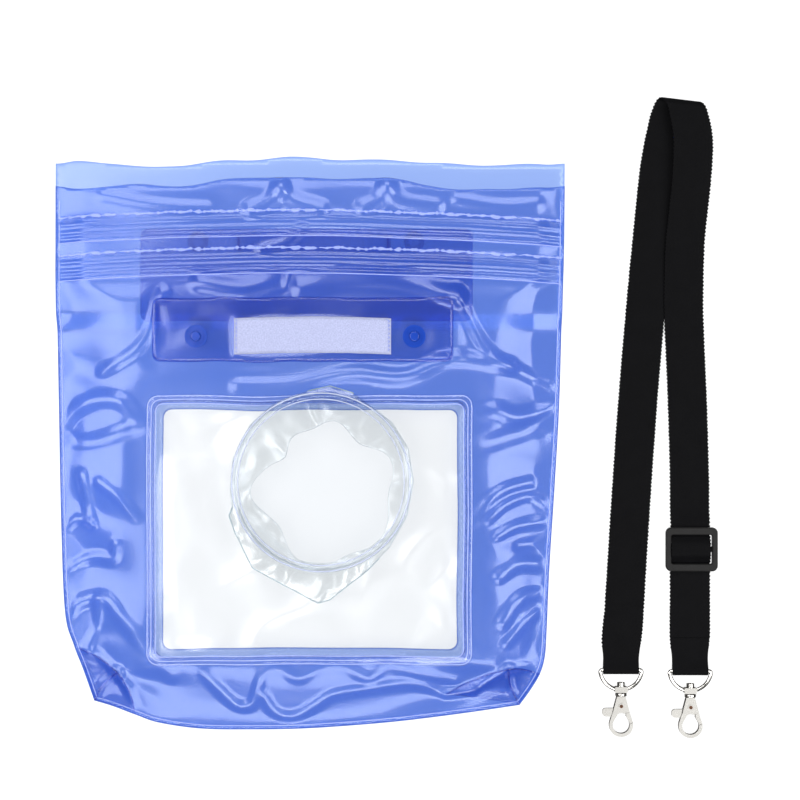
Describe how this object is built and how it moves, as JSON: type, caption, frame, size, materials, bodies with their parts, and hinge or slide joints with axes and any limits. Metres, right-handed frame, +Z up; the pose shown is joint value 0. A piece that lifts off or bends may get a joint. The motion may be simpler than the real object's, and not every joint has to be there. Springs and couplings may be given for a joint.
{
  "type": "waterproof camera case",
  "caption": "Soft film waterproof case for an SLR camera, with clear windows, a lens sleeve and port, press-to-close tracks and fold-over top, and a webbing strap with swivel hooks.",
  "frame": {"origin": "centre of the base of the bounding box of the case and the strap beside it", "axes": "+Z up out of the case's front as it lies on its back; +Y towards the case's mouth; +X towards the strap"},
  "size_m": [0.351, 0.34, 0.022],
  "materials": {
    "blue_film": "translucent soft vinyl",
    "clear_film": "clear soft vinyl",
    "port_clear": "clear rigid plastic",
    "hook_loop": "woven hook and loop",
    "snap_blue": "moulded",
    "webbing": "ribbed satin webbing",
    "slider": "moulded",
    "nickel": "bright nickel plate",
    "spring_steel": "wire"
  },
  "bodies": {
    "bag": {"back_panel": "blue_film", "front_panel": "blue_film", "rear_window": "clear_film", "front_window": "clear_film", "lens_sleeve": "clear_film", "closure_patch": "blue_film", "hook_strip": "hook_loop", "stud_left": "snap_blue", "stud_right": "snap_blue", "stud_cap_left": "snap_blue", "stud_cap_right": "snap_blue", "tab_weld": "blue_film"},
    "lens_port": {"lens_ring": "port_clear", "lens_disc": "port_clear", "sleeve_clamp": "port_clear"},
    "top_flap": {"front_lip": "blue_film", "back_lip": "blue_film", "upper_track_female": "blue_film", "upper_track_male": "blue_film", "lower_track_female": "blue_film", "lower_track_male": "blue_film"},
    "tab": {"closure_tab": "blue_film", "loop_strip": "hook_loop", "socket_left": "snap_blue", "socket_right": "snap_blue", "socket_cap_left": "snap_blue", "socket_cap_right": "snap_blue"},
    "strap": {"long_webbing": "webbing"},
    "short_strap": {"slider_frame": "slider", "short_webbing": "webbing"},
    "left_ring": {"left_d_ring": "nickel"},
    "left_hook": {"left_hook_body": "nickel", "left_swivel_post": "nickel", "left_gate_rivet": "nickel", "left_gate_spring": "spring_steel"},
    "left_gate": {"left_gate_lever": "nickel"},
    "right_ring": {"right_d_ring": "nickel"},
    "right_hook": {"right_hook_body": "nickel", "right_swivel_post": "nickel", "right_gate_rivet": "nickel", "right_gate_spring": "spring_steel"},
    "right_gate": {"right_gate_lever": "nickel"}
  },
  "joints": [
    {"name": "lens_extend", "type": "slide", "parent": "bag", "child": "lens_port", "axis": [0, 0, 1], "range_m": [0, 0.09], "deforming": ["lens_sleeve"]},
    {"name": "top_fold", "type": "hinge", "parent": "bag", "child": "top_flap", "pos_m": [0, 0.0686, 0.0083], "axis": [1, 0, 0], "range_deg": [0, 140]},
    {"name": "tab_swing", "type": "hinge", "parent": "bag", "child": "tab", "pos_m": [0, 0.0503, 0.0013], "axis": [-1, 0, 0], "range_deg": [0, 110]},
    {"name": "strap_lift", "type": "slide", "parent": "bag", "child": "strap", "axis": [0, 0, 1], "range_m": [0, 0.15]},
    {"name": "strap_adjust", "type": "slide", "parent": "strap", "child": "short_strap", "axis": [0, 1, 0], "range_m": [-0.03, 0.015], "deforming": ["long_webbing"]},
    {"name": "left_ring_swing", "type": "hinge", "parent": "strap", "child": "left_ring", "pos_m": [0.1244, -0.134, 0.00305], "axis": [-1, 0, 0], "range_deg": [-90, 90]},
    {"name": "left_swivel", "type": "hinge", "parent": "left_ring", "child": "left_hook", "pos_m": [0.1244, -0.14435, 0.00305], "axis": [0, -1, 0], "continuous": true},
    {"name": "left_gate_open", "type": "hinge", "parent": "left_hook", "child": "left_gate", "pos_m": [0.1244, -0.153, 0.00305], "axis": [0, 0, -1], "range_deg": [0, 28], "stiffness_Nm_per_rad": 0.02, "springref_deg": -20.05},
    {"name": "right_ring_swing", "type": "hinge", "parent": "short_strap", "child": "right_ring", "pos_m": [0.1612, -0.1346, 0.00305], "axis": [-1, 0, 0], "range_deg": [-90, 90]},
    {"name": "right_swivel", "type": "hinge", "parent": "right_ring", "child": "right_hook", "pos_m": [0.1612, -0.14495, 0.00305], "axis": [0, -1, 0], "continuous": true},
    {"name": "right_gate_open", "type": "hinge", "parent": "right_hook", "child": "right_gate", "pos_m": [0.1612, -0.1536, 0.00305], "axis": [0, 0, -1], "range_deg": [0, 28], "stiffness_Nm_per_rad": 0.02, "springref_deg": -20.05}
  ]
}
